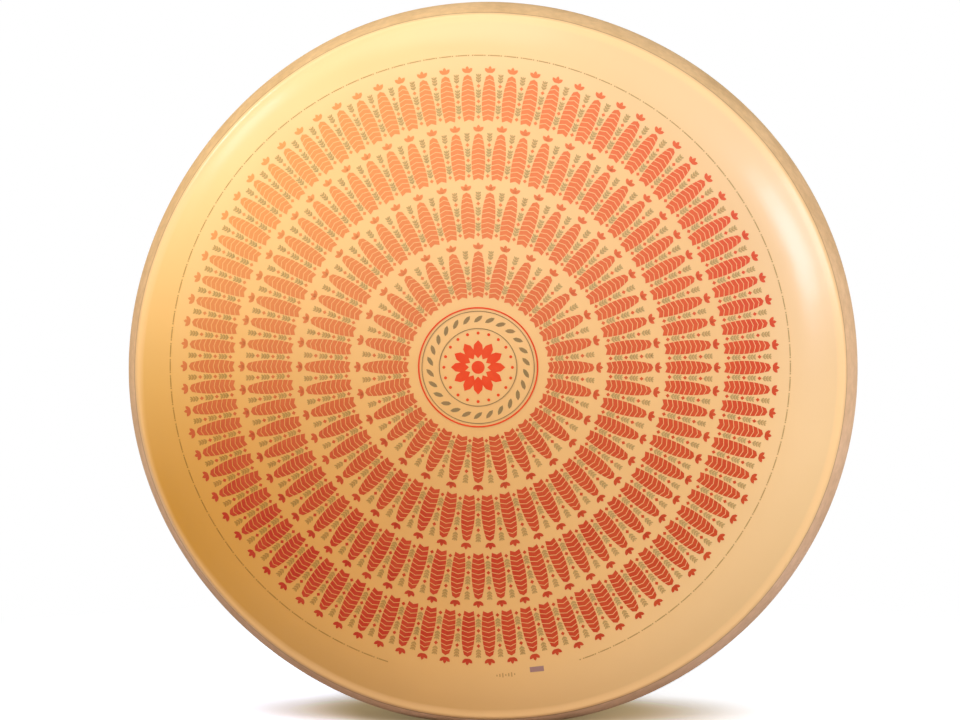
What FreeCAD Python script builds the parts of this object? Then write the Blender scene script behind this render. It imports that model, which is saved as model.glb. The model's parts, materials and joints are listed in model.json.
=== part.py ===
import FreeCAD, Part
import math
import os

# A whole wheel of Emmental, standing on its heel with the shown face towards -Y.
# It is cast in a round mould, swells as its eyes grow, and sags under its own weight:
# the faces are domed with rolled shoulders, the heel bulges, and the foot is pressed flat.
# Millimetres, +Z up, origin on the floor under the middle of the wheel.

# Driving dimensions
wheel_diameter = 902.0      # over the bulge of the heel
heel_height = 146.0         # between the two edges, the thickness at the heel
heel_bulge = 20.0           # how far the heel swells beyond its edges
edge_radius = 5.0           # round of the edge between a face and the heel
lip_width = 7.0             # narrow lip that the mould leaves along each edge
lip_slope = 14.0            # degrees by which the lip falls outwards
shoulder_width = 64.0       # rolled band of the face inside the lip
shoulder_slope = 25.0       # degrees that the roll has reached where it meets the lip
dome_rise = 12.0            # swelling of the face inside the shoulder

# Sag where it stands
foot_depth = 8.0            # how much of the rim is pressed flat on the floor
foot_sag = 3.0              # how far the whole rim gives way above the foot
face_sag = 2.5              # how far each face is pushed out above the foot
sag_spread = 17.0           # degrees to either side of the foot over which it sags
foot_angle = -90.0          # the foot is at the bottom, in degrees from +X towards +Z

# The wheel is uneven. Each wave around it is a count, an amplitude in mm at the rim
# and the angle of a crest in degrees, from +X towards +Z
rim_waves = [(2, 1.3, -19.0), (3, 1.0, -33.0), (4, 0.9, 12.0), (5, 0.6, 40.0)]
front_waves = [(1, 1.8, 160.0), (2, 1.2, 65.0), (3, 0.8, 20.0)]
back_waves = [(1, 1.4, 300.0), (2, 1.5, 10.0), (3, 0.7, 75.0)]

# How finely the skin is drawn
dome_steps = 2
shoulder_steps = 3
edge_steps = 2
heel_steps = 4
spans_around = 24
skin_degree = 3

rim_radius = wheel_diameter / 2
edge_reach = rim_radius - heel_bulge
heel_half = heel_height / 2
heel_arc = (heel_half ** 2 + heel_bulge ** 2) / (2 * heel_bulge)
heel_slope = 90 - math.degrees(math.asin(heel_half / heel_arc))


def heading(slope):
    """Direction along the profile, outwards and falling at a slope in degrees."""
    return FreeCAD.Vector(math.cos(math.radians(slope)), -math.sin(math.radians(slope)))


def arc_run(start, slopes, radius, steps):
    """Points from start along an arc that turns downwards between two slopes."""
    hub = start + heading(slopes[0] + 90) * radius
    turn = (slopes[1] - slopes[0]) / steps
    return [hub - heading(slopes[0] + turn * step + 90) * radius for step in range(steps + 1)]


def arc_radius(slopes, run):
    """Radius of the arc that turns between two slopes while it goes outwards by run."""
    first, last = [math.sin(math.radians(slope)) for slope in slopes]
    return run / (last - first)


def mirrored(points):
    """The same stretch of profile on the back of the wheel, in running order."""
    return [FreeCAD.Vector(point.x, -point.y) for point in reversed(points)]


def fair_curve(points, slopes):
    """Smooth curve through points, with the slopes of its two ends given."""
    curve = Part.BSplineCurve()
    curve.interpolate(
        Points=points, InitialTangent=heading(slopes[0]), FinalTangent=heading(slopes[1]))
    return curve


def profile_curves():
    """Profile (radius, depth) in five stretches: face, edge, heel, edge and back face."""
    # Round of the edge, tangent to the lip and to the heel
    trim = edge_radius * math.tan(math.radians(heel_slope - lip_slope) / 2)
    corner = FreeCAD.Vector(edge_reach, heel_half)
    edge_slopes = (lip_slope, heel_slope)
    edge = arc_run(corner - heading(lip_slope) * trim, edge_slopes, edge_radius, edge_steps)

    # Dome and shoulder, set so that the lip ends where the round begins
    dome_run = edge_reach - lip_width - shoulder_width
    dome_slope = math.degrees(2 * math.atan(dome_rise / dome_run))
    dome_slopes = (0.0, dome_slope)
    dome = arc_run(FreeCAD.Vector(), dome_slopes, arc_radius(dome_slopes, dome_run), dome_steps)
    roll_slopes = (dome_slope, shoulder_slope)
    roll_radius = arc_radius(roll_slopes, shoulder_width)
    roll = arc_run(dome[-1], roll_slopes, roll_radius, shoulder_steps)
    lip_fall = lip_width * math.tan(math.radians(lip_slope))
    lift = FreeCAD.Vector(0, heel_half + lip_fall - roll[-1].y)
    face = [point + lift for point in dome + roll[1:]] + [edge[0]]

    # Heel, bulged to its crest half way between the faces
    heel_slopes = (heel_slope, 180 - heel_slope)
    heel_start = FreeCAD.Vector(rim_radius - heel_arc, 0) - heading(heel_slope + 90) * heel_arc
    heel = arc_run(heel_start, heel_slopes, heel_arc, heel_steps)
    heel = [edge[-1]] + heel[1:-1] + mirrored([edge[-1]])

    stretches = [
        (face, (0.0, lip_slope)),
        (edge, edge_slopes),
        (heel, heel_slopes),
        (mirrored(edge), (180 - heel_slope, 180 - lip_slope)),
        (mirrored(face), (180 - lip_slope, 180.0)),
    ]
    return [fair_curve(points, slopes) for points, slopes in stretches]


def wave_sum(waves, angle, reach):
    """Height of the waves at an angle; reach is 1 at the rim and 0 in the middle of a face."""
    total = 0.0
    for count, amplitude, crest in waves:
        total += amplitude * reach ** count * math.cos(math.radians(count * (angle - crest)))
    return total


def uneven_point(point, angle):
    """Where a point of the profile lies at an angle of the uneven, sagging wheel."""
    reach = point.x / rim_radius
    turn = (angle - foot_angle + 180) % 360 - 180
    sag = math.exp(-((turn / sag_spread) ** 2))
    radius = point.x + reach * (wave_sum(rim_waves, angle, 1.0) - foot_sag * sag)

    side = math.sin(math.pi / 2 * max(-1.0, min(1.0, point.y / heel_half)))
    face_waves = front_waves if side > 0 else back_waves
    depth = point.y + side * (wave_sum(face_waves, angle, reach) + face_sag * sag * reach ** 2)
    return FreeCAD.Vector(
        radius * math.cos(math.radians(angle)), -depth, radius * math.sin(math.radians(angle)))


def swept_face(curve):
    """A stretch of the profile carried round the axis over the waves and the sag."""
    step = 360 / spans_around
    # An even cubic ring runs inside its poles by this factor
    ring_swell = 3 / (2 + math.cos(math.radians(step)))
    rings = []
    for index in range(spans_around):
        ring = [uneven_point(pole, index * step) for pole in curve.getPoles()]
        rings.append([FreeCAD.Vector(p.x * ring_swell, p.y, p.z * ring_swell) for p in ring])
    skin = Part.BSplineSurface()
    skin.buildFromPolesMultsKnots(
        rings,
        [1] * (spans_around + 1), curve.getMultiplicities(),
        list(range(spans_around + 1)), curve.getKnots(),
        True, False, skin_degree, curve.Degree)
    return skin.toShape()


def cheese_wheel():
    """The wheel as one solid, cut flat at the foot and set down on the floor."""
    skin = Part.makeShell([swept_face(curve) for curve in profile_curves()])
    skin.sewShape()
    body = Part.Solid(skin)
    if body.Volume < 0:
        body.reverse()
    box = body.optimalBoundingBox()
    floor = box.ZMin + foot_depth
    above_floor = Part.makeBox(
        box.XLength, 2 * box.YLength, box.ZLength,
        FreeCAD.Vector(box.XMin, -box.YLength, floor))
    body = body.common(above_floor).Solids[0]
    body.translate(FreeCAD.Vector(-box.Center.x, -box.Center.y, -floor))
    return body


os.makedirs("parts", exist_ok=True)
wheel = cheese_wheel()
wheel.exportStep("parts/cheese_wheel.step")
print("cheese_wheel: valid", wheel.isValid(), "volume", round(wheel.Volume / 1e6, 1), "litres")
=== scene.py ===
import bpy
import json
import math
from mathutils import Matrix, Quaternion, Vector

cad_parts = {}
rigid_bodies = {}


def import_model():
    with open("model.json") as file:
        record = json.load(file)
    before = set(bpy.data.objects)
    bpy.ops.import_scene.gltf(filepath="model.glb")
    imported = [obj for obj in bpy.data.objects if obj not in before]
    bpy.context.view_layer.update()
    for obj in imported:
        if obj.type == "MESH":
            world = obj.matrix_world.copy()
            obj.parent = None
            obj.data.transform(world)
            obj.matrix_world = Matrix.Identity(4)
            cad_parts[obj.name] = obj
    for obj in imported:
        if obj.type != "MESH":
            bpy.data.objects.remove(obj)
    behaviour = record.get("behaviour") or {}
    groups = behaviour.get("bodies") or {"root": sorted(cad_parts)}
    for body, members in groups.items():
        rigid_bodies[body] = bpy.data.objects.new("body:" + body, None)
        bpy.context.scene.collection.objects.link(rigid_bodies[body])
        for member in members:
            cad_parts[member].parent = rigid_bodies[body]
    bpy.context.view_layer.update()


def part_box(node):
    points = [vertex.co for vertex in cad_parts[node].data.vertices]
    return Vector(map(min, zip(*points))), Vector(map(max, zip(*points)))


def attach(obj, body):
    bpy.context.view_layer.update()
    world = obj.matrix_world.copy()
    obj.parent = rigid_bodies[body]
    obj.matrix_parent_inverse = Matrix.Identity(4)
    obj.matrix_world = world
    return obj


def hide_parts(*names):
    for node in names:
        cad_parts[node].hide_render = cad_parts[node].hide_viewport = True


# A whole wheel of hard cheese that stands on its heel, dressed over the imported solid.
# Metres, +Z up, the shown face towards -Y.

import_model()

mm = 0.001
hair = 0.01 * mm  # points closer than this count as one
wheelNode = "cheese_wheel"


# Helpers that every piece uses

def clearSelection():
    if bpy.context.mode != "OBJECT":
        bpy.ops.object.mode_set(mode="OBJECT")
    for item in bpy.context.view_layer.objects:
        item.select_set(False)


def useOnly(item):
    clearSelection()
    item.select_set(True)
    bpy.context.view_layer.objects.active = item
    return item


def newPrimitive(name):  # the primitive that an operator has just added
    item = bpy.context.active_object
    item.name = name
    item.data.name = name
    return item


def applyModifiers(item):
    useOnly(item)
    for modifier in list(item.modifiers):
        bpy.ops.object.modifier_apply(modifier=modifier.name)


def settleTransform(item):  # a finished piece sits at the origin, its place in its mesh
    useOnly(item)
    bpy.ops.object.transform_apply(location=True, rotation=True, scale=True)


def joinPieces(items, name):
    useOnly(items[0])
    for item in items[1:]:
        item.select_set(True)
    bpy.ops.object.join()
    return newPrimitive(name)


def selectVertices(item, test):  # in edit mode, leaves the vertices that pass the test selected
    bpy.ops.object.mode_set(mode="OBJECT")
    for polygon in item.data.polygons:
        polygon.select = False
    for edge in item.data.edges:
        edge.select = False
    for vertex in item.data.vertices:
        vertex.select = test(vertex.co)
    bpy.ops.object.mode_set(mode="EDIT")


# The wheel's form, as the solid has it

wheelForm = {
    "diameter": 902 * mm,  # over the bulge of the heel
    "heelHeight": 146 * mm,  # between the edges
    "heelBulge": 20 * mm,
    "edgeRadius": 5 * mm,
    "lipWidth": 7 * mm,
    "lipSlope": 14.0,  # degrees
    "shoulderWidth": 64 * mm,
    "shoulderSlope": 25.0,  # degrees
    "domeRise": 12 * mm,
    "footSag": 3 * mm,
    "faceSag": 2.5 * mm,
    "sagSpread": 17.0,  # degrees to either side of the foot
    "footAngle": -90.0,
    # waves: count, amplitude, angle of a crest
    "rimWaves": [
        (2, 1.3 * mm, -19.0), (3, 1.0 * mm, -33.0), (4, 0.9 * mm, 12.0), (5, 0.6 * mm, 40.0)],
    "frontWaves": [(1, 1.8 * mm, 160.0), (2, 1.2 * mm, 65.0), (3, 0.8 * mm, 20.0)],
    "backWaves": [(1, 1.4 * mm, 300.0), (2, 1.5 * mm, 10.0), (3, 0.7 * mm, 75.0)],
}

rimRadius = wheelForm["diameter"] / 2
edgeReach = rimRadius - wheelForm["heelBulge"]
heelHalf = wheelForm["heelHeight"] / 2


def waveSum(waves, angle, reach):
    total = 0.0
    for count, amplitude, crest in waves:
        total += amplitude * reach ** count * math.cos(math.radians(count * (angle - crest)))
    return total


def unevenPoint(radius, depth, angle):  # depth is towards the front
    form = wheelForm
    reach = radius / rimRadius
    turn = (angle - form["footAngle"] + 180) % 360 - 180
    sag = math.exp(-((turn / form["sagSpread"]) ** 2))
    out = radius + reach * (waveSum(form["rimWaves"], angle, 1.0) - form["footSag"] * sag)
    side = math.sin(math.pi / 2 * max(-1.0, min(1.0, depth / heelHalf)))
    waves = form["frontWaves"] if side > 0 else form["backWaves"]
    swell = waveSum(waves, angle, reach) + form["faceSag"] * sag * reach ** 2
    return out, depth + side * swell


def axisPlace():  # the wheel's axis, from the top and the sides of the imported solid
    low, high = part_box(wheelNode)
    top = unevenPoint(rimRadius, 0.0, 90.0)[0]
    right = unevenPoint(rimRadius, 0.0, 0.0)[0]
    left = unevenPoint(rimRadius, 0.0, 180.0)[0]
    return Vector(((high.x - right + low.x + left) / 2, 0.0, high.z - top))


axis = axisPlace()
print("axis at", [round(value, 4) for value in axis])


skinBuild = {
    "around": 96,
    # rows of the profile: over the dome, the shoulder, the edge and half the heel
    "domeRows": 8,
    "shoulderRows": 5,
    "edgeRows": 2,
    "heelRows": 4,
    "capRows": 3,  # of the dome's rows, left to the grid in the middle
    "capSpan": 24,  # rows of that grid
    "smoothing": 2,  # subdivision levels
}


def arcStations(slopes, run, steps, start):  # points down an arc from one slope to the next
    first, last = [math.radians(slope) for slope in slopes]
    arc = run / (math.sin(last) - math.sin(first))
    stations = []
    for step in range(1, steps + 1):
        slope = first + (last - first) * step / steps
        out = start[0] + arc * (math.sin(slope) - math.sin(first))
        stations.append((out, start[1] - arc * (math.cos(first) - math.cos(slope))))
    return stations


def profileStations():  # (radius, depth) rings from the crest of the heel in to the dome
    form, build = wheelForm, skinBuild
    heelArc = (heelHalf ** 2 + form["heelBulge"] ** 2) / (2 * form["heelBulge"])
    heelSlope = 90 - math.degrees(math.asin(heelHalf / heelArc))
    domeRun = edgeReach - form["lipWidth"] - form["shoulderWidth"]
    domeSlope = math.degrees(2 * math.atan(form["domeRise"] / domeRun))
    lipFall = math.tan(math.radians(form["lipSlope"]))

    face = [(0.0, 0.0)]
    face += arcStations((0.0, domeSlope), domeRun, build["domeRows"], face[-1])
    slopes = (domeSlope, form["shoulderSlope"])
    face += arcStations(slopes, form["shoulderWidth"], build["shoulderRows"], face[-1])
    lift = heelHalf + form["lipWidth"] * lipFall - face[-1][1]
    face = [(out, depth + lift) for out, depth in face]

    trim = form["edgeRadius"] * math.tan(math.radians(heelSlope - form["lipSlope"]) / 2)
    lipAngle = math.radians(form["lipSlope"])
    edgeStart = (edgeReach - trim * math.cos(lipAngle), heelHalf + trim * math.sin(lipAngle))
    edgeRun = form["edgeRadius"] * (math.sin(math.radians(heelSlope)) - math.sin(lipAngle))
    edge = [edgeStart]
    edge += arcStations((form["lipSlope"], heelSlope), edgeRun, build["edgeRows"], edgeStart)

    heel = []
    for step in range(1, build["heelRows"] + 1):
        rise = math.radians(90 - heelSlope) * (1 - step / build["heelRows"])
        heel.append((rimRadius - heelArc * (1 - math.cos(rise)), heelArc * math.sin(rise)))
    return list(reversed(face[build["capRows"]:] + edge + heel)), face


def ringsInward(item, stations, side):  # extrudes from the crest ring to the last station
    selectVertices(item, lambda place: abs(place.y) < hair)
    before = stations[0]
    for station in stations[1:]:
        bpy.ops.mesh.extrude_edges_move(
            TRANSFORM_OT_translate={"value": (0, -side * (station[1] - before[1]), 0)})
        scale = station[0] / before[0]
        bpy.ops.transform.resize(value=(scale, 1, scale), center_override=(0, 0, 0))
        before = station
    bpy.ops.mesh.fill_grid(span=skinBuild["capSpan"])


def nearestStation(stations, point):
    return min(range(len(stations)), key=lambda index: math.dist(stations[index], point))


def rimDistances(stations):  # along the profile from the sharp edge, positive on the heel
    lengths = [0.0]
    for before, after in zip(stations, stations[1:]):
        lengths.append(lengths[-1] + math.dist(before, after))
    edge = nearestStation(stations, (edgeReach, heelHalf))
    return [lengths[edge] - length for length in lengths]


waxEdge = {
    "reach": 1.6 * mm,  # how far the wax runs over the sharp edge on to the heel
    "extra": 5.0 * mm,  # and how much further where it sagged, low on the left
    "sagAngle": 203.0,
    "sagSpread": 22.0,
}


def markRim(item, stations):
    distances = rimDistances(stations)
    rim = item.data.attributes.new("rimDistance", "FLOAT", "POINT")
    for vertex in item.data.vertices:
        place = (math.hypot(vertex.co.x, vertex.co.z), abs(vertex.co.y))
        distance = distances[nearestStation(stations, place)]
        angle = math.degrees(math.atan2(vertex.co.z, vertex.co.x)) % 360
        sagged = math.exp(-(((angle - waxEdge["sagAngle"]) / waxEdge["sagSpread"]) ** 2))
        rim.data[vertex.index].value = distance - waxEdge["reach"] - waxEdge["extra"] * sagged


def domeDepth(radius, face):  # depth of the dome's arc, for the grid in the middle
    rise = face[0][1] - face[1][1]
    arc = (face[1][0] ** 2 + rise ** 2) / (2 * rise)
    return face[0][1] - arc + math.sqrt(arc ** 2 - radius ** 2)


def wheelSkin():
    stations, face = profileStations()
    clearSelection()
    bpy.ops.mesh.primitive_circle_add(
        vertices=skinBuild["around"], radius=rimRadius, rotation=(math.pi / 2, 0, 0))
    skin = newPrimitive("wheel_skin")
    settleTransform(skin)
    for side in (1, -1):
        ringsInward(skin, stations, side)
    bpy.ops.object.mode_set(mode="OBJECT")

    innerRing = stations[-1][0]
    for vertex in skin.data.vertices:  # the grids in the middle take the dome's curve
        radius = math.hypot(vertex.co.x, vertex.co.z)
        if radius < innerRing - 10 * hair:
            vertex.co.y = math.copysign(domeDepth(radius, face), vertex.co.y)
    markRim(skin, stations)
    for vertex in skin.data.vertices:  # waves, sag and the flat of the foot
        radius = math.hypot(vertex.co.x, vertex.co.z)
        angle = math.degrees(math.atan2(vertex.co.z, vertex.co.x))
        out, depth = unevenPoint(radius, -vertex.co.y, angle)
        vertex.co.x = axis.x + out * math.cos(math.radians(angle))
        vertex.co.z = max(0.0, axis.z + out * math.sin(math.radians(angle)))
        vertex.co.y = axis.y - depth

    smooth = skin.modifiers.new("rounded", "SUBSURF")
    smooth.levels = skinBuild["smoothing"]
    smooth.render_levels = skinBuild["smoothing"]
    applyModifiers(skin)
    bpy.ops.object.mode_set(mode="EDIT")
    bpy.ops.mesh.select_all(action="SELECT")
    bpy.ops.mesh.remove_doubles(threshold=hair)
    bpy.ops.mesh.normals_make_consistent(inside=False)
    bpy.ops.object.mode_set(mode="OBJECT")
    bpy.ops.object.shade_smooth()
    print("skin", len(skin.data.polygons), "faces")
    return skin


skin = wheelSkin()


# The print: a generic pattern of leaf sprays in rings, drawn flat round its own middle
# and then laid on the face. It hangs a little off the middle of the wheel.

printPlan = {
    "middle": (-12.2 * mm, 3.7 * mm),  # from the axis, right and up
    "standOff": 300 * mm,  # from the axis to where the marks wait, in front of the face
    "inkHeight": 0.15 * mm,  # how far the ink stands on the wax
    "inkDepth": 0.4 * mm,  # thickness of a mark, most of it in the wax
}

leafPlan = {
    # inner radius and count of the sprays of each ring
    "rings": [(84 * mm, 28), (155 * mm, 46), (226 * mm, 64), (297 * mm, 82)],
    "length": 55 * mm,
    "width": 16.5 * mm,
    "segments": 9,
    "gap": 0.9 * mm,
    "lean": 2.6 * mm,  # how far the middle of a segment runs ahead of its sides
    "taper": (0.16, 0.92),  # the stretch of a half wave that gives the leaf its outline
    "clearance": 1.2 * mm,  # between a spray and its crown, and a seed and its sprig
    "crownPetal": (8.5 * mm, 4.2 * mm),
    "crownTurns": (-48, 0, 48),
    "seedSize": 5 * mm,
    "seedShares": (0.10, 0.44, 0.78),  # of the way up a spray
    "sprigLength": 11 * mm,
    "stemWidth": 0.9 * mm,
    "leaflet": (4.8 * mm, 2.3 * mm),
    "leafletShares": (0.05, 0.35, 0.65),  # of the way up a sprig
    "leafletTurns": (-42, 42),
}

medallionPlan = {
    "redLine": (72 * mm, 1.8 * mm),
    "lines": [(68 * mm, 0.9 * mm), (47 * mm, 0.9 * mm)],
    "wreathCount": 26,
    "wreathLeaf": (13 * mm, 5 * mm),
    "wreathTurn": 52,
    "wreathStart": (-5 * mm, 54.5 * mm),
    "beadCount": 20,
    "beadRadius": 1.9 * mm,
    "beadStart": 41.5 * mm,
    "petalCount": 12,
    "petal": (22 * mm, 11.5 * mm),
    "petalStart": 11 * mm,
    "heart": 8 * mm,
}

borderPlan = {
    "radius": 377 * mm,
    "places": 120,
    "opening": 36.0,  # degrees left open at the bottom
    "dash": (12 * mm, 1.4 * mm),
    "dotRadius": 1.0 * mm,
    "dotShares": (0.38, 0.62),  # of the way to the next dash
    "tickCount": 7,
    "tickLengths": (2.2 * mm, 3.8 * mm, 5.4 * mm),
    "tickWidth": 1.3 * mm,
    "tickTurns": (-3.4, -0.55),  # of the first, and from each to the next
    "block": (17 * mm, 6.5 * mm),
    "blockTurn": 84,
    "blockPlace": (71 * mm, 9 * mm),  # right of the middle, and in from the line
}


def flatten(item):  # a mark lies in the XZ plane and faces the front
    useOnly(item)
    item.rotation_euler = (math.pi / 2, 0, 0)
    settleTransform(item)
    return item


def moveMark(item, right=0.0, up=0.0, turn=0.0):  # turn in degrees, clockwise as seen
    item.rotation_euler = (0, math.radians(turn), 0)
    settleTransform(item)
    item.location = (right, 0, up)
    settleTransform(item)
    return item


def pointedOval(length, width, sides=12):  # stands on the origin and points up
    clearSelection()
    bpy.ops.mesh.primitive_circle_add(vertices=sides, radius=0.5, fill_type="NGON")
    mark = newPrimitive("oval")
    selectVertices(mark, lambda place: abs(place.y) > 0.3 and abs(place.x) > 0.01)
    # draws both ends in to a point
    bpy.ops.transform.resize(value=(0.72, 0.92, 1), center_override=(0, 0, 0))
    bpy.ops.object.mode_set(mode="OBJECT")
    mark.scale = (width, length, 1)
    mark.location = (0, length / 2, 0)
    settleTransform(mark)
    return flatten(mark)


def roundDot(radius, sides=12):
    clearSelection()
    bpy.ops.mesh.primitive_circle_add(vertices=sides, radius=radius, fill_type="NGON")
    return flatten(newPrimitive("dot"))


def dashMark(length, width):
    clearSelection()
    bpy.ops.mesh.primitive_grid_add(x_subdivisions=1, y_subdivisions=2, size=1)
    mark = newPrimitive("dash")
    mark.scale = (width, length, 1)
    settleTransform(mark)
    return flatten(mark)


def ringLine(radius, width):
    clearSelection()
    bpy.ops.mesh.primitive_circle_add(vertices=120, radius=radius - width / 2)
    mark = newPrimitive("line")
    bpy.ops.object.mode_set(mode="EDIT")
    bpy.ops.mesh.select_all(action="SELECT")
    bpy.ops.mesh.extrude_edges_move()
    grow = (radius + width / 2) / (radius - width / 2)
    bpy.ops.transform.resize(value=(grow, grow, 1), center_override=(0, 0, 0))
    bpy.ops.mesh.select_all(action="SELECT")
    bpy.ops.mesh.normals_make_consistent(inside=False)
    bpy.ops.object.mode_set(mode="OBJECT")
    return flatten(mark)


def chevron(low, high, bottom, top, lean):  # half widths low and high, between two heights
    clearSelection()
    bpy.ops.mesh.primitive_grid_add(x_subdivisions=2, y_subdivisions=1, size=2)
    mark = newPrimitive("chevron")
    selectVertices(mark, lambda place: place.y < 0)
    bpy.ops.transform.resize(value=(low, 1, 1), center_override=(0, 0, 0))
    selectVertices(mark, lambda place: place.y > 0)
    bpy.ops.transform.resize(value=(high, 1, 1), center_override=(0, 0, 0))
    bpy.ops.object.mode_set(mode="OBJECT")
    mark.scale = (1, (top - bottom) / 2, 1)
    mark.location = (0, (top + bottom) / 2, 0)
    settleTransform(mark)
    selectVertices(mark, lambda place: abs(place.x) < hair)
    bpy.ops.transform.translate(value=(0, lean, 0))
    bpy.ops.object.mode_set(mode="OBJECT")
    return flatten(mark)


def leafHalfWidth(share):
    low, high = leafPlan["taper"]
    return leafPlan["width"] / 2 * math.sin(math.pi * (low + (high - low) * share)) ** 0.5


def leafSpray():  # leaning segments that fill the outline of a leaf
    pitch = leafPlan["length"] / leafPlan["segments"]
    marks = []
    for index in range(leafPlan["segments"]):
        bottom = index * pitch
        top = bottom + pitch - leafPlan["gap"]
        low = leafHalfWidth(bottom / leafPlan["length"])
        high = leafHalfWidth(top / leafPlan["length"])
        marks.append(chevron(low, high, bottom, top, leafPlan["lean"]))
    return joinPieces(marks, "leaf")


def crown():  # petals that fan out over the tip of a spray
    marks = []
    for turn in leafPlan["crownTurns"]:
        marks.append(moveMark(pointedOval(*leafPlan["crownPetal"]), turn=turn))
    return joinPieces(marks, "crown")


def sprig():  # a stem with pairs of leaflets, for the gaps between the sprays
    length = leafPlan["sprigLength"]
    marks = [moveMark(dashMark(length, leafPlan["stemWidth"]), up=length / 2)]
    for share in leafPlan["leafletShares"]:
        for turn in leafPlan["leafletTurns"]:
            leaflet = pointedOval(*leafPlan["leaflet"], sides=6)
            marks.append(moveMark(leaflet, up=share * length, turn=turn))
    return joinPieces(marks, "sprig")


def ringOf(item, count, start=0.0, kept=None):  # copies round the middle, from start degrees on
    moveMark(item, turn=start)
    clearSelection()
    bpy.ops.object.empty_add(location=(0, 0, 0), rotation=(0, 2 * math.pi / count, 0))
    turner = bpy.context.active_object
    array = item.modifiers.new("round", "ARRAY")
    array.count = kept or count
    array.use_relative_offset = False
    array.use_object_offset = True
    array.offset_object = turner
    applyModifiers(item)
    bpy.data.objects.remove(turner)
    return item


def sprayRings(red, olive):
    plan = leafPlan
    for index, (inner, count) in enumerate(plan["rings"]):
        pitch = 360 / count
        start = pitch / 2 * (index % 2)
        red.append(ringOf(moveMark(leafSpray(), up=inner), count, start))
        tip = inner + plan["length"] + plan["lean"] + plan["clearance"]
        red.append(ringOf(moveMark(crown(), up=tip), count, start))
        for share in plan["seedShares"]:  # seeds and sprigs in the gaps between sprays
            seed = roundDot(plan["seedSize"] / 2, sides=4)
            height = inner + share * plan["length"]
            red.append(ringOf(moveMark(seed, up=height), count, start + pitch / 2))
            height += plan["seedSize"] / 2 + plan["clearance"]
            olive.append(ringOf(moveMark(sprig(), up=height), count, start + pitch / 2))


def medallion(red, olive):
    plan = medallionPlan
    red.append(ringLine(*plan["redLine"]))
    for radius, width in plan["lines"]:
        olive.append(ringLine(radius, width))
    leaf = moveMark(pointedOval(*plan["wreathLeaf"]), turn=plan["wreathTurn"])
    olive.append(ringOf(moveMark(leaf, *plan["wreathStart"]), plan["wreathCount"]))
    bead = moveMark(roundDot(plan["beadRadius"]), up=plan["beadStart"])
    red.append(ringOf(bead, plan["beadCount"]))
    petal = moveMark(pointedOval(*plan["petal"]), up=plan["petalStart"])
    red.append(ringOf(petal, plan["petalCount"]))
    red.append(roundDot(plan["heart"], sides=24))


def border(olive):  # a broken line round the print, open at the bottom
    plan = borderPlan
    step = 360 / plan["places"]
    start = 180 + plan["opening"] / 2
    kept = plan["places"] - round(plan["opening"] / step)
    dash = moveMark(dashMark(*plan["dash"]), turn=90)
    olive.append(ringOf(moveMark(dash, up=plan["radius"]), plan["places"], start, kept))
    for share in plan["dotShares"]:
        dot = moveMark(roundDot(plan["dotRadius"], sides=6), up=plan["radius"])
        olive.append(ringOf(dot, plan["places"], start + share * step, kept))


def footMarks(olive, lilac):  # a row of ticks and a small worn block in the opening
    plan = borderPlan
    first, pitch = plan["tickTurns"]
    for index in range(plan["tickCount"]):
        tick = dashMark(plan["tickLengths"][index % 3], plan["tickWidth"])
        olive.append(moveMark(moveMark(tick, up=-plan["radius"]), turn=first + pitch * index))
    block = moveMark(dashMark(*plan["block"]), turn=plan["blockTurn"])
    right, inwards = plan["blockPlace"]
    lilac.append(moveMark(block, right=right, up=inwards - plan["radius"]))


printMiddle = (axis.x + printPlan["middle"][0], 0, axis.z + printPlan["middle"][1])


def layOnFace(marks, name):  # joins the marks and lays them on the front of the skin
    ink = joinPieces(marks, name)
    ink.location = (printMiddle[0], -printPlan["standOff"], printMiddle[2])
    settleTransform(ink)
    wrap = ink.modifiers.new("laid", "SHRINKWRAP")
    wrap.target = skin
    wrap.wrap_method = "PROJECT"
    wrap.use_project_y = True
    wrap.use_positive_direction = True
    wrap.offset = printPlan["inkHeight"]
    body = ink.modifiers.new("ink", "SOLIDIFY")
    body.thickness = printPlan["inkDepth"]
    body.offset = -1
    applyModifiers(ink)
    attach(ink, "root")
    print(name, len(ink.data.polygons), "faces")
    return ink


redMarks, oliveMarks, lilacMarks = [], [], []
sprayRings(redMarks, oliveMarks)
medallion(redMarks, oliveMarks)
border(oliveMarks)
footMarks(oliveMarks, lilacMarks)
printRed = layOnFace(redMarks, "print_red")
printOlive = layOnFace(oliveMarks, "print_olive")
printLilac = layOnFace(lilacMarks, "print_lilac")


# Shader nodes

noiseSpan = (0.3, 0.7)  # where most of a noise's values lie


def addNode(tree, kind, place, **settings):
    node = tree.nodes.new(kind)
    node.location = place
    for key, value in settings.items():
        setattr(node, key, value)
    return node


def feed(tree, socket, value):  # another node's output is linked, a plain value is set
    if isinstance(value, bpy.types.NodeSocket):
        tree.links.new(value, socket)
    elif socket.type == "RGBA":
        socket.default_value = (*value, 1)
    else:
        socket.default_value = value


def feedAll(tree, node, values):
    for label, value in values.items():
        feed(tree, node.inputs[label], value)


def useGroup(tree, group, place, values):
    node = addNode(tree, "ShaderNodeGroup", place, node_tree=group)
    feedAll(tree, node, values)
    return node.outputs


def newGroup(name, inputs, outputs):
    group = bpy.data.node_groups.new(name, "ShaderNodeTree")
    for label, kind, value in inputs:
        socket = group.interface.new_socket(label, in_out="INPUT", socket_type=kind)
        if value is not None:
            socket.default_value = value
    for label, kind in outputs:
        group.interface.new_socket(label, in_out="OUTPUT", socket_type=kind)
    start = addNode(group, "NodeGroupInput", (-1200, 0))
    end = addNode(group, "NodeGroupOutput", (900, 0))
    return group, start.outputs, end


def maths(tree, place, operation, *values):
    node = addNode(tree, "ShaderNodeMath", place, operation=operation)
    for socket, value in zip(node.inputs, values):
        feed(tree, socket, value)
    return node.outputs[0]


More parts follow.
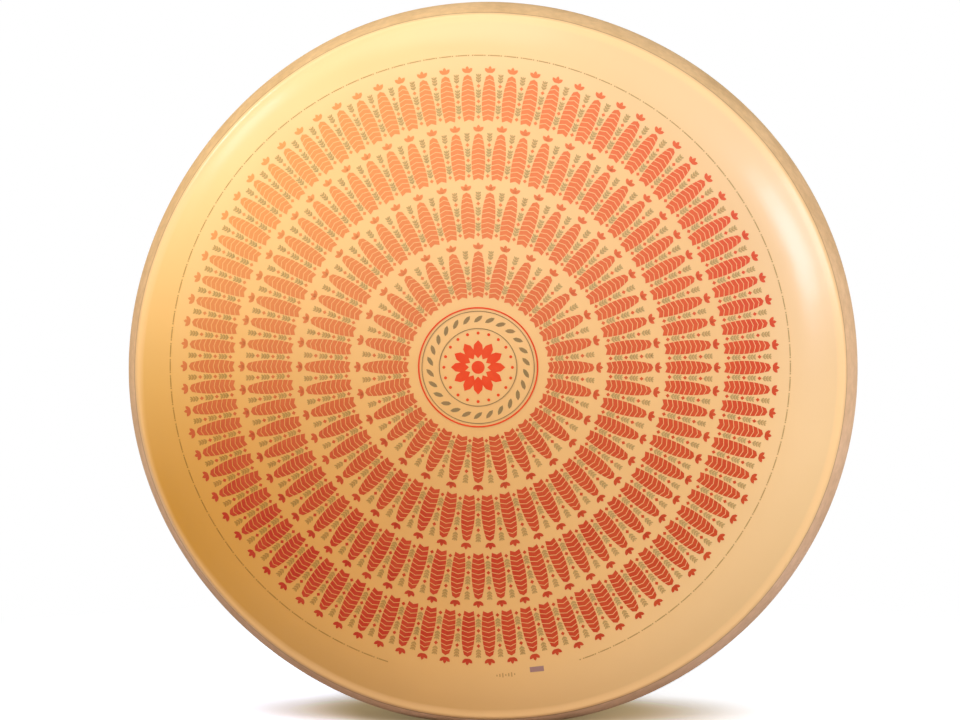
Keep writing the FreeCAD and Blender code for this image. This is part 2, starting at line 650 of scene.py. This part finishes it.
def vectorMaths(tree, place, operation, first, second=None):
    node = addNode(tree, "ShaderNodeVectorMath", place, operation=operation)
    feed(tree, node.inputs[0], first)
    if second is not None:
        feed(tree, node.inputs["Scale" if operation == "SCALE" else 1], second)
    return node.outputs["Value" if operation == "LENGTH" else "Vector"]


def splitPlace(tree, place, source):
    node = addNode(tree, "ShaderNodeSeparateXYZ", place)
    feed(tree, node.inputs[0], source)
    return node.outputs


def mapRange(tree, place, value, low, high, start=0.0, end=1.0, smooth=False):
    kind = "SMOOTHSTEP" if smooth else "LINEAR"
    node = addNode(tree, "ShaderNodeMapRange", place, interpolation_type=kind)
    feedAll(tree, node, {
        "Value": value, "From Min": low, "From Max": high, "To Min": start, "To Max": end})
    return node.outputs[0]


def mix(tree, place, factor, first, second, kind="RGBA", blend="MIX"):
    node = addNode(tree, "ShaderNodeMix", place, data_type=kind, blend_type=blend)
    feedAll(tree, node, {"Factor": factor, "A": first, "B": second})
    return node.outputs["Result"]


def mixShaders(tree, place, factor, first, second):
    node = addNode(tree, "ShaderNodeMixShader", place)
    for socket, value in zip(node.inputs, (factor, first, second)):
        feed(tree, socket, value)
    return node.outputs[0]


def noise(tree, place, source, scale, detail=2.0, rough=0.5):
    node = addNode(tree, "ShaderNodeTexNoise", place)
    feedAll(tree, node, {
        "Vector": source, "Scale": scale, "Detail": detail, "Roughness": rough})
    return node.outputs[0]


def bump(tree, place, strength, depth, height):
    node = addNode(tree, "ShaderNodeBump", place)
    feedAll(tree, node, {"Strength": strength, "Distance": depth, "Height": height})
    return node.outputs["Normal"]


# The wax on the faces: glossy, with painted light and shade in its tone, lightest high on the
# left and darkest low on the left

filmLook = {
    "litStraw": (0.96, 0.605, 0.20),  # painted light: the face, high on the left
    "shadedAmber": (0.575, 0.257, 0.013),  # painted shade: low on the left
    "cream": (0.77, 0.54, 0.285),  # painted light and shade: high on the right
    "peach": (0.835, 0.575, 0.257),  # painted light and shade: low on the right
    "across": (-0.40, 0.40),  # where the left tones end and the right ones begin
    "upward": (0.21, 0.70),  # where the low tones end and the high ones begin
    "printTint": (1.0, 0.915, 0.785),  # the printed disc is a little pinker
    "printReach": (0.30, 0.41),  # where that tint fades out
    "lipTint": (0.97, 0.62, 0.26),  # paler where the wax thins over the lip
    "lipShare": 0.5,
    "lipDull": 0.35,  # how much less the wax shines there
    "roughness": 0.34,
    "specular": 0.1,
    "coat": 0.6,
    "coatRoughness": 0.2,
}

waxGrain = {
    "broadScale": 9.0,
    "fineScale": 160.0,
    "fineShare": 0.035,
    "depth": 1.2 * mm,
    "gloss": (0.9, 1.1),  # of the roughness, between one broad swell and the next
    "cloudScale": 5.0,
    "cloudTones": (0.965, 1.02),
}

# the order in which the four tones of a finish are given
corners = ("HighLeft", "LowLeft", "HighRight", "LowRight")


def filmSheen():  # bump and gloss of the wax, shared by the face and the inks on it
    group, start, end = newGroup(
        "filmSheen",
        [("Place", "NodeSocketVector", None), ("Height", "NodeSocketFloat", 1.0)],
        [("Normal", "NodeSocketVector"), ("Gloss", "NodeSocketFloat")])
    broad = noise(group, (-900, 200), start["Place"], waxGrain["broadScale"])
    fine = noise(group, (-900, -100), start["Place"], waxGrain["fineScale"])
    height = maths(group, (-600, 100), "MULTIPLY_ADD", fine, waxGrain["fineShare"], broad)
    feedAll(group, end, {
        "Normal": bump(group, (-300, 100), start["Height"], waxGrain["depth"], height),
        "Gloss": mapRange(group, (-300, -200), broad, *noiseSpan, *waxGrain["gloss"])})
    return group


def fourTones():  # four tones that melt into each other across and up the wheel
    group, start, end = newGroup(
        "fourTones",
        [("Place", "NodeSocketVector", None)]
        + [(name, "NodeSocketColor", None) for name in corners]
        + [("Bottom", "NodeSocketFloat", 0.0), ("Top", "NodeSocketFloat", 1.0)],
        [("Colour", "NodeSocketColor")])
    parts = splitPlace(group, (-1000, 200), start["Place"])
    across = mapRange(group, (-800, 300), parts["X"], *filmLook["across"])
    upward = mapRange(
        group, (-800, 0), parts["Z"], start["Bottom"], start["Top"], smooth=True)
    left = mix(group, (-500, 300), upward, start["LowLeft"], start["HighLeft"])
    right = mix(group, (-500, 0), upward, start["LowRight"], start["HighRight"])
    feedAll(group, end, {"Colour": mix(group, (-250, 200), across, left, right)})
    return group


def fromMiddle():  # distance from the middle of the print
    group, start, end = newGroup(
        "fromMiddle", [("Place", "NodeSocketVector", None)], [("Distance", "NodeSocketFloat")])
    centred = vectorMaths(group, (-900, 0), "SUBTRACT", start["Place"], printMiddle)
    flat = vectorMaths(group, (-600, 0), "MULTIPLY", centred, (1, 0, 1))
    feedAll(group, end, {"Distance": vectorMaths(group, (-300, 0), "LENGTH", flat)})
    return group


def waxClouds():  # faint clouds in the wax, and a pinker disc under the print
    group, start, end = newGroup(
        "waxClouds",
        [("Place", "NodeSocketVector", None), ("Tone", "NodeSocketColor", None)],
        [("Colour", "NodeSocketColor")])
    away = useGroup(group, middleGroup, (-800, -300), {"Place": start["Place"]})["Distance"]
    disc = mapRange(group, (-400, -300), away, *filmLook["printReach"], 1.0, 0.0, smooth=True)
    depth = splitPlace(group, (-800, -550), start["Place"])["Y"]
    front = maths(group, (-600, -550), "LESS_THAN", depth, 0.0)
    share = maths(group, (-200, -300), "MULTIPLY", disc, front)
    tinted = mix(
        group, (0, 0), share, start["Tone"], filmLook["printTint"], blend="MULTIPLY")
    clouds = noise(group, (-1000, 600), start["Place"], waxGrain["cloudScale"], 3.0)
    cloud = mapRange(group, (-700, 600), clouds, *noiseSpan, *waxGrain["cloudTones"])
    feedAll(group, end, {"Colour": vectorMaths(group, (300, 100), "SCALE", tinted, cloud)})
    return group


# The heel: dull and brown, with a dark line where the wax meets it

# how far past the wax's end each band begins and is full, negative on the face
rimBands = {
    "wobble": 2.2 * mm,
    "wobbleScale": 22.0,
    "heel": (1.8 * mm, 3.8 * mm),
    "lineStart": (1.2 * mm, 2.6 * mm),
    "lineEnd": (3.2 * mm, 6.2 * mm),
    "lip": (-12 * mm, -4 * mm),
}

heelLook = {
    "tan": (0.79, 0.515, 0.30),
    "brown": (0.68, 0.43, 0.235),
    # painted light on the heel: four tints by place across and up the wheel
    "tintHighLeft": (1.0, 0.98, 0.64),  # painted light: yellower towards the top
    "tintLowLeft": (0.92, 0.89, 0.84),
    "tintHighRight": (0.98, 1.0, 0.84),
    "tintLowRight": (0.96, 1.0, 1.10),  # painted light: a little paler low on the right
    "upward": (0.10, 0.76),
    "line": (0.28, 0.14, 0.045),  # the dark line where wax and heel meet
    "lineAndShadeShares": (1.0, 0.62),  # painted shade: strongest close to the floor
    "paintedShadeHeights": (0.018, 0.048),
    "roughness": 0.62,
}

heelGrain = {
    "mottleScale": 14.0,
    "mottleSpan": (0.36, 0.68),  # where tan turns to brown
    "speckScale": 110.0,
    "speckTones": (1.06, 0.92),
    "grainScale": 420.0,
    "grainShare": 0.4,
    "depth": 0.7 * mm,
}


def rimMasks():  # heel, dark line, pale lip and gloss, from the distance to the sharp edge
    group, start, end = newGroup(
        "rimMasks",
        [("Place", "NodeSocketVector", None), ("Distance", "NodeSocketFloat", 0.0)],
        [(name, "NodeSocketFloat") for name in ("Heel", "Line", "Lip", "Coat")])
    wobble = noise(group, (-900, -200), start["Place"], rimBands["wobbleScale"], 3.0)
    past = maths(
        group, (-700, -100), "MULTIPLY_ADD", wobble, rimBands["wobble"], start["Distance"])
    heel = mapRange(group, (-400, 300), past, *rimBands["heel"], smooth=True)
    rise = mapRange(group, (-400, 0), past, *rimBands["lineStart"], smooth=True)
    fall = mapRange(group, (-400, -300), past, *rimBands["lineEnd"], 1.0, 0.0, smooth=True)
    lipRise = mapRange(group, (-400, -600), past, *rimBands["lip"], smooth=True)
    film = maths(group, (-100, 100), "SUBTRACT", 1.0, heel)
    lip = maths(group, (100, -300), "MULTIPLY", lipRise, film)
    feedAll(group, end, {
        "Heel": heel,
        "Line": maths(group, (-100, -100), "MULTIPLY", rise, fall),
        "Lip": lip,
        "Coat": maths(group, (300, -100), "MULTIPLY_ADD", lip, -filmLook["lipDull"], film)})
    return group


def heelRind():  # the dry brown side, mottled and finely pitted
    group, start, end = newGroup(
        "heelRind",
        [("Place", "NodeSocketVector", None), ("Tan", "NodeSocketColor", (*heelLook["tan"], 1)),
         ("Brown", "NodeSocketColor", (*heelLook["brown"], 1)),
         ("Height", "NodeSocketFloat", 1.0)],
        [("Colour", "NodeSocketColor"), ("Normal", "NodeSocketVector")])
    look = heelGrain
    mottle = noise(group, (-900, 300), start["Place"], look["mottleScale"], 5.0, 0.6)
    speck = noise(group, (-900, 0), start["Place"], look["speckScale"], 3.0)
    grain = noise(group, (-900, -300), start["Place"], look["grainScale"])
    share = mapRange(group, (-600, 300), mottle, *look["mottleSpan"])
    base = mix(group, (-300, 300), share, start["Tan"], start["Brown"])
    tone = mapRange(group, (-600, 0), speck, *noiseSpan, *look["speckTones"])
    height = maths(group, (-600, -300), "MULTIPLY_ADD", grain, look["grainShare"], speck)
    feedAll(group, end, {
        "Colour": vectorMaths(group, (0, 200), "SCALE", base, tone),
        "Normal": bump(group, (-300, -300), start["Height"], look["depth"], height)})
    return group


# The inks, which share the gloss of the wax under them

inkLook = {
    "redHighLeft": (0.90, 0.40, 0.085),  # painted reflection: the red is paler high on the left; painted shade darkens it low on the left
    "redLowLeft": (0.41, 0.012, 0.001),
    "redHighRight": (0.66, 0.055, 0.037),
    "redLowRight": (0.54, 0.058, 0.010),
    "upward": (0.20, 0.76),
    "oliveShare": (0.56, 0.56, 0.44),  # of the wax's tones, with their painted light and shade, which show through
    "lilacShare": (0.42, 0.40, 0.90),
    "medallion": (0.72, 0.048, 0.004),  # in the middle both inks keep one tone, without the painted light and shade of the rest
    "wreath": (0.25, 0.165, 0.055),
    "medallionReach": (0.076, 0.080),
    "worn": (0.88, 0.28, 0.06),  # where the ink has rubbed off in patches
    "wornShare": 0.08,
    "wornScale": 55.0,
    "coat": 0.35,
}


def inkWear():  # how much of the ink has rubbed off, in small patches
    group, start, end = newGroup(
        "inkWear", [("Place", "NodeSocketVector", None), ("Most", "NodeSocketFloat", 0.2)],
        [("Worn", "NodeSocketFloat")])
    patches = noise(group, (-700, 0), start["Place"], inkLook["wornScale"], 3.0)
    uneven = mapRange(group, (-450, 0), patches, 0.35, 0.7)
    feedAll(group, end, {"Worn": maths(group, (-200, 0), "MULTIPLY", uneven, start["Most"])})
    return group


sheenGroup = filmSheen()
rimGroup = rimMasks()
toneGroup = fourTones()
middleGroup = fromMiddle()
cloudGroup = waxClouds()
heelGroup = heelRind()
wearGroup = inkWear()


def newMaterial(name):
    material = bpy.data.materials.new(name)
    material.use_nodes = True
    tree = material.node_tree
    place = addNode(tree, "ShaderNodeTexCoord", (-1400, 0)).outputs["Object"]
    return material, tree, tree.nodes["Principled BSDF"], place


def addTones(tree, spot, place, tones, upward):  # tones in the order of the corners
    bottom, top = upward
    values = {"Place": place, "Bottom": bottom, "Top": top, **dict(zip(corners, tones))}
    return useGroup(tree, toneGroup, spot, values)["Colour"]


# the wax's four tones with their painted light and shade, scaled by a share
def waxTonesWithPaintedLight(share=(1, 1, 1)):
    names = ("litStraw", "shadedAmber", "cream", "peach")
    return [[part * whole for part, whole in zip(share, filmLook[name])] for name in names]


def addSheen(tree, shader, place):  # sets the wax's gloss, gives its normal and roughness
    sheen = useGroup(tree, sheenGroup, (-900, -500), {"Place": place})
    feedAll(tree, shader, {
        "Specular IOR Level": filmLook["specular"],
        "Coat Roughness": filmLook["coatRoughness"],
        "Coat Normal": sheen["Normal"]})
    rough = maths(tree, (-600, -500), "MULTIPLY", sheen["Gloss"], filmLook["roughness"])
    return sheen["Normal"], rough


def rindMaterial():
    material, tree, shader, place = newMaterial("waxedRind")
    rim = addNode(tree, "ShaderNodeAttribute", (-1400, 300), attribute_name="rimDistance")
    masks = useGroup(
        tree, rimGroup, (-1100, 300), {"Place": place, "Distance": rim.outputs["Fac"]})

    tones = addTones(tree, (-1200, 100), place, waxTonesWithPaintedLight(), filmLook["upward"])
    clouded = useGroup(tree, cloudGroup, (-1000, 100), {"Place": place, "Tone": tones})
    lipShare = maths(tree, (-850, 400), "MULTIPLY", masks["Lip"], filmLook["lipShare"])
    film = mix(tree, (-650, 300), lipShare, clouded["Colour"], filmLook["lipTint"])

    heel = useGroup(tree, heelGroup, (-1100, -150), {"Place": place})
    # painted light: the heel's tints by place
    paintedLightTones = [heelLook["tint" + name] for name in corners]
    tint = addTones(tree, (-850, -50), place, paintedLightTones, heelLook["upward"])
    heelTone = mix(tree, (-650, 0), 1.0, heel["Colour"], tint, blend="MULTIPLY")
    sides = mix(tree, (-450, 200), masks["Heel"], film, heelTone)

    # painted shade: the dark line grows stronger close to the floor
    height = splitPlace(tree, (-850, 600), place)["Z"]
    strength = mapRange(
        tree, (-650, 600), height, *heelLook["paintedShadeHeights"], *heelLook["lineAndShadeShares"])
    lineAndShadeShare = maths(tree, (-450, 450), "MULTIPLY", masks["Line"], strength)
    filmNormal, filmRough = addSheen(tree, shader, place)
    feedAll(tree, shader, {
        "Base Color": mix(tree, (-250, 200), lineAndShadeShare, sides, heelLook["line"]),
        "Normal": mix(
            tree, (-450, -350), masks["Heel"], filmNormal, heel["Normal"], kind="VECTOR"),
        "Roughness": mix(
            tree, (-450, -550), masks["Heel"], filmRough, heelLook["roughness"], kind="FLOAT"),
        "Coat Weight": maths(
            tree, (-450, -750), "MULTIPLY", masks["Coat"], filmLook["coat"])})
    return material


def inkMaterial(name, tones, upward, middle=None):  # middle is the medallion's own tone
    material, tree, shader, place = newMaterial(name)
    tone = addTones(tree, (-900, 150), place, tones, upward)
    if middle:
        away = useGroup(tree, middleGroup, (-1100, 600), {"Place": place})["Distance"]
        outside = mapRange(tree, (-900, 600), away, *inkLook["medallionReach"])
        tone = mix(tree, (-700, 500), outside, middle, tone)
    wear = useGroup(
        tree, wearGroup, (-900, 400), {"Place": place, "Most": inkLook["wornShare"]})
    normal, rough = addSheen(tree, shader, place)
    feedAll(tree, shader, {
        "Base Color": mix(tree, (-500, 200), wear["Worn"], tone, inkLook["worn"]),
        "Normal": normal,
        "Roughness": rough,
        "Coat Weight": inkLook["coat"]})
    return material


# the red's painted reflection and shade, one tone for each corner
redTonesWithPaintedLight = [inkLook["red" + name] for name in corners]
oliveTones = waxTonesWithPaintedLight(inkLook["oliveShare"])
lilacTones = waxTonesWithPaintedLight(inkLook["lilacShare"])
skin.data.materials.append(rindMaterial())
printRed.data.materials.append(
    inkMaterial("inkRed", redTonesWithPaintedLight, inkLook["upward"], inkLook["medallion"]))
printOlive.data.materials.append(
    inkMaterial("inkOlive", oliveTones, filmLook["upward"], inkLook["wreath"]))
printLilac.data.materials.append(inkMaterial("inkLilac", lilacTones, filmLook["upward"]))
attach(skin, "root")
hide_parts(wheelNode)
print("materials set")


# Stage, lamps and camera

studio = {
    "ambient": 0.18,  # strength of the room's own light
    "mirrored": 0.25,  # how much of the white backdrop a mirrored ray meets
    "floorSize": 14.0,
    "floorWhite": (1.45, 1.48, 1.46),  # as the camera sees it
    "floorGlow": 0.3,  # painted light: the floor glows a little for rays that look at it, which keeps the shadow from going black
    "floorBounce": (0.50, 0.43, 0.36),  # what the floor throws back on the wheel
    "shade": (0.62, 0.482, 0.259),  # painted shadow: warmer and darker close under the wheel
    "shadeMiddle": 0.065,  # middle of the painted shadow, behind the middle of the wheel
    "shadeSize": (0.38, 0.193),  # half its width and half its depth
    "shadeCore": 0.44,  # share of that size where it is full
    # the floor shows its shadow up to the first distance,
    # and is plain white backdrop from the second
    "lit": (0.62, 1.25),
}


def seenRays(tree):  # rays that look at the white: direct, mirrored or through glass
    path = addNode(tree, "ShaderNodeLightPath", (-1000, 200)).outputs
    mirrored = maths(tree, (-800, 50), "MULTIPLY", path["Is Glossy Ray"], studio["mirrored"])
    bare = maths(tree, (-650, 200), "MAXIMUM", path["Is Camera Ray"], mirrored)
    return maths(tree, (-500, 200), "MAXIMUM", bare, path["Is Transmission Ray"])


def studioWorld():
    world = bpy.data.worlds.new("studio")
    bpy.context.scene.world = world
    world.use_nodes = True
    tree = world.node_tree
    tree.nodes.clear()
    white = (1, 1, 1)
    room = addNode(tree, "ShaderNodeBackground", (-300, 0))
    feedAll(tree, room, {"Color": white, "Strength": studio["ambient"]})
    backdrop = addNode(tree, "ShaderNodeBackground", (-300, -200))
    feedAll(tree, backdrop, {"Color": white})
    both = mixShaders(tree, (0, 0), seenRays(tree), room.outputs[0], backdrop.outputs[0])
    feedAll(tree, addNode(tree, "ShaderNodeOutputWorld", (300, 0)), {"Surface": both})


def floorShade(tree, place):  # the floor's colour as the camera sees it, with a painted shadow under the wheel
    middle = (0, studio["shadeMiddle"], 0)
    centred = vectorMaths(tree, (-1300, 600), "SUBTRACT", place, middle)
    sized = vectorMaths(tree, (-1100, 600), "DIVIDE", centred, (*studio["shadeSize"], 1))
    away = vectorMaths(tree, (-900, 600), "LENGTH", sized)
    reach = mapRange(tree, (-700, 600), away, studio["shadeCore"], 1.0, smooth=True)
    return mix(tree, (-500, 500), reach, studio["shade"], studio["floorWhite"])


def studioFloor():
    clearSelection()
    bpy.ops.mesh.primitive_plane_add(size=studio["floorSize"], location=(0, 0, 0))
    floor = newPrimitive("studio_floor")
    material, tree, shader, place = newMaterial("floorWhite")
    seen = seenRays(tree)
    shade = floorShade(tree, place)
    feedAll(tree, shader, {
        "Roughness": 0.9,
        "Specular IOR Level": 0.0,
        "Base Color": mix(tree, (-300, 300), seen, studio["floorBounce"], shade),
        "Emission Color": shade,
        "Emission Strength": maths(tree, (-300, 150), "MULTIPLY", seen, studio["floorGlow"])})
    away = vectorMaths(tree, (-1100, -200), "LENGTH", place)
    far = mapRange(tree, (-800, -200), away, *studio["lit"], smooth=True)
    share = maths(tree, (-300, 0), "MULTIPLY", seen, far)
    backdrop = addNode(tree, "ShaderNodeEmission", (0, -300)).outputs[0]
    both = mixShaders(tree, (300, 0), share, shader.outputs[0], backdrop)
    feedAll(tree, tree.nodes["Material Output"], {"Surface": both})
    floor.data.materials.append(material)


studioWorld()
studioFloor()


# name: azimuth from the front, elevation, distance, turn about its own axis, width, height,
# watts and colour; angles in degrees
lamps = {
    "leftBox": (-55, 32.5, 3.0, 138, 0.22, 0.8, 46, (0.8, 0.8, 1.15)),
    "rightBox": (39.6, 13.5, 2.9, 22, 0.75, 0.8, 26, (0.95, 0.9, 1.15)),
    "fillBox": (64, 20, 2.6, 0, 1.6, 1.4, 15, (1, 1, 1)),
    "glareBox": (-16, 14, 4.6, 0, 3.4, 2.6, 46, (1, 1, 1)),
    "highBox": (-24, 60, 1.6, 0, 1.3, 0.8, 7.5, (1, 1, 1)),
    "sideLeft": (-80, 22, 2.2, 0, 1.0, 1.0, 4, (1, 1, 1)),
    "sideRight": (78, -2, 2.2, 0, 1.0, 0.7, 6.5, (1, 1, 1)),
}


def directionFrom(azimuth, elevation):  # out from the wheel, in degrees
    side, up = math.radians(azimuth), math.radians(elevation)
    return Vector(
        (math.sin(side) * math.cos(up), -math.cos(side) * math.cos(up), math.sin(up)))


def softBox(name, azimuth, elevation, distance, turn, width, height, power, colour):
    clearSelection()
    away = directionFrom(azimuth, elevation)
    bpy.ops.object.light_add(type="AREA", location=axis + away * distance)
    lamp = bpy.context.active_object
    lamp.name = name
    lamp.data.shape = "RECTANGLE"
    lamp.data.size = width
    lamp.data.size_y = height
    lamp.data.energy = power
    lamp.data.color = colour
    roll = Quaternion((0, 0, 1), math.radians(turn))
    lamp.rotation_euler = (away.to_track_quat("Z", "Y") @ roll).to_euler()


for name, values in lamps.items():
    softBox(name, *values)

camera = {
    "distance": 4.0,
    "azimuth": 2.95,
    "elevation": 2.5,
    "lens": 120.85,
    "aimRight": -15.2 * mm,
    "aimUp": 8.1 * mm,
}


def placeCamera(values):
    clearSelection()
    bpy.ops.object.camera_add()
    eye = bpy.context.active_object
    eye.name = "productCamera"
    back = directionFrom(values["azimuth"], values["elevation"])
    side = math.radians(values["azimuth"])
    right = Vector((math.cos(side), math.sin(side), 0))
    target = axis + right * values["aimRight"] + Vector((0, 0, values["aimUp"]))
    eye.location = target + back * values["distance"]
    eye.rotation_euler = (-back).to_track_quat("-Z", "Y").to_euler()
    eye.data.lens = values["lens"]
    eye.data.sensor_width = 36
    bpy.context.scene.camera = eye


placeCamera(camera)
bpy.context.scene.view_settings.view_transform = "Standard"
print("stage set,", len(lamps), "lamps")
